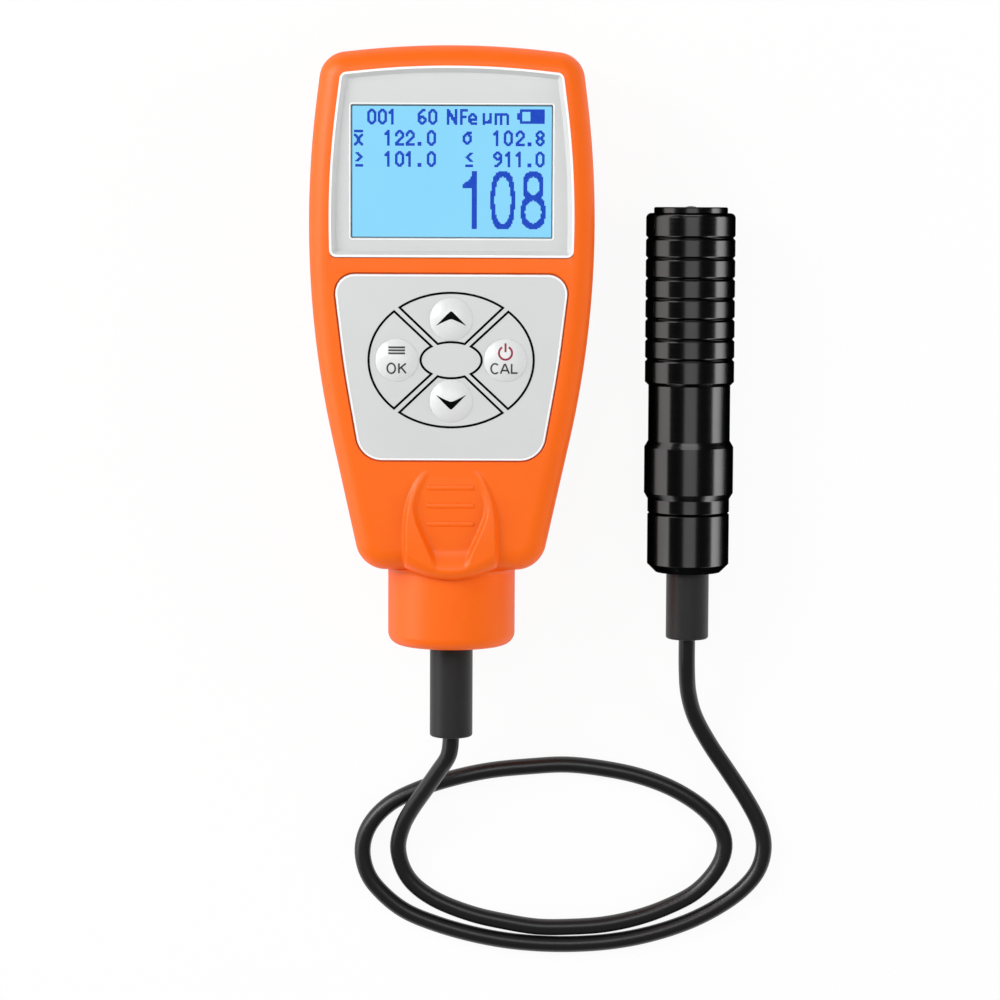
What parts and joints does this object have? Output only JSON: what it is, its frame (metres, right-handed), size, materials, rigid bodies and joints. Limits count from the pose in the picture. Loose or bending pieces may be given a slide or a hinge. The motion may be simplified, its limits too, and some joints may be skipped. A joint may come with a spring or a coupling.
{
  "type": "coating thickness gauge",
  "caption": "Hand-held coating thickness gauge with a display, dome keys and a thumb grip, wired by a looped lead to a grooved sprung probe.",
  "frame": {"origin": "on the back of the case, half way between its top edge and the end of its collar", "axes": "+X to the right of the face, +Y towards the display end, +Z out of the face; the gauge lies on its back"},
  "size_m": [0.0898, 0.1762, 0.0286],
  "materials": {
    "orange_plastic": "satin",
    "silver_plastic": "satin",
    "clear_window": "gloss",
    "lcd_glass": "gloss",
    "white_plastic": "matte",
    "circuit_board": "gloss",
    "black_plastic": "matte",
    "ivory_plastic": "matte",
    "plated_steel": "satin",
    "cell_jacket": "gloss",
    "black_rubber": "matte",
    "lead_jacket": "satin",
    "black_anodised": "satin",
    "copper_wire": "gloss"
  },
  "bodies": {
    "case": {"front_cover": "orange_plastic", "rear_cover": "orange_plastic", "display_bezel": "silver_plastic", "display_window": "clear_window", "lcd_panel": "lcd_glass", "lcd_backlight": "white_plastic", "keypad_panel": "silver_plastic", "main_board": "circuit_board", "board_chips": "black_plastic", "tact_switches": "black_plastic", "buzzer": "black_plastic", "lead_socket": "ivory_plastic", "inner_lead": "lead_jacket", "battery_cell_left": "cell_jacket", "battery_cell_right": "cell_jacket", "battery_springs": "plated_steel", "bridge_contact": "plated_steel", "terminal_contacts": "plated_steel", "case_screws": "plated_steel", "case_relief": "black_rubber", "probe_lead": "lead_jacket", "probe_relief": "black_rubber", "probe_end_cap": "black_anodised", "probe_barrel": "black_anodised", "probe_sleeve": "black_anodised", "sensor_spring": "plated_steel"},
    "up_key": {"key_up": "silver_plastic"},
    "down_key": {"key_down": "silver_plastic"},
    "menu_key": {"key_menu": "silver_plastic"},
    "power_key": {"key_power": "silver_plastic"},
    "battery_door": {"battery_cover": "orange_plastic"},
    "sensor": {"sensor_carrier": "black_anodised", "pole_tip": "plated_steel", "sensor_coil": "copper_wire"}
  },
  "joints": [
    {"name": "up_key_press", "type": "slide", "parent": "case", "child": "up_key", "axis": [0, 0, -1], "range_m": [0, 0.0005], "stiffness_N_per_m": 400},
    {"name": "down_key_press", "type": "slide", "parent": "case", "child": "down_key", "axis": [0, 0, -1], "range_m": [0, 0.0005], "stiffness_N_per_m": 400},
    {"name": "menu_key_press", "type": "slide", "parent": "case", "child": "menu_key", "axis": [0, 0, -1], "range_m": [0, 0.0005], "stiffness_N_per_m": 400},
    {"name": "power_key_press", "type": "slide", "parent": "case", "child": "power_key", "axis": [0, 0, -1], "range_m": [0, 0.0005], "stiffness_N_per_m": 400},
    {"name": "battery_door_swing", "type": "hinge", "parent": "case", "child": "battery_door", "pos_m": [0, 0.0264, 0.00095], "axis": [1, 0, 0], "range_deg": [0, 75]},
    {"name": "sensor_press", "type": "slide", "parent": "case", "child": "sensor", "axis": [0, -1, 0], "range_m": [0, 0.001], "stiffness_N_per_m": 600, "deforming": ["sensor_spring"]}
  ]
}
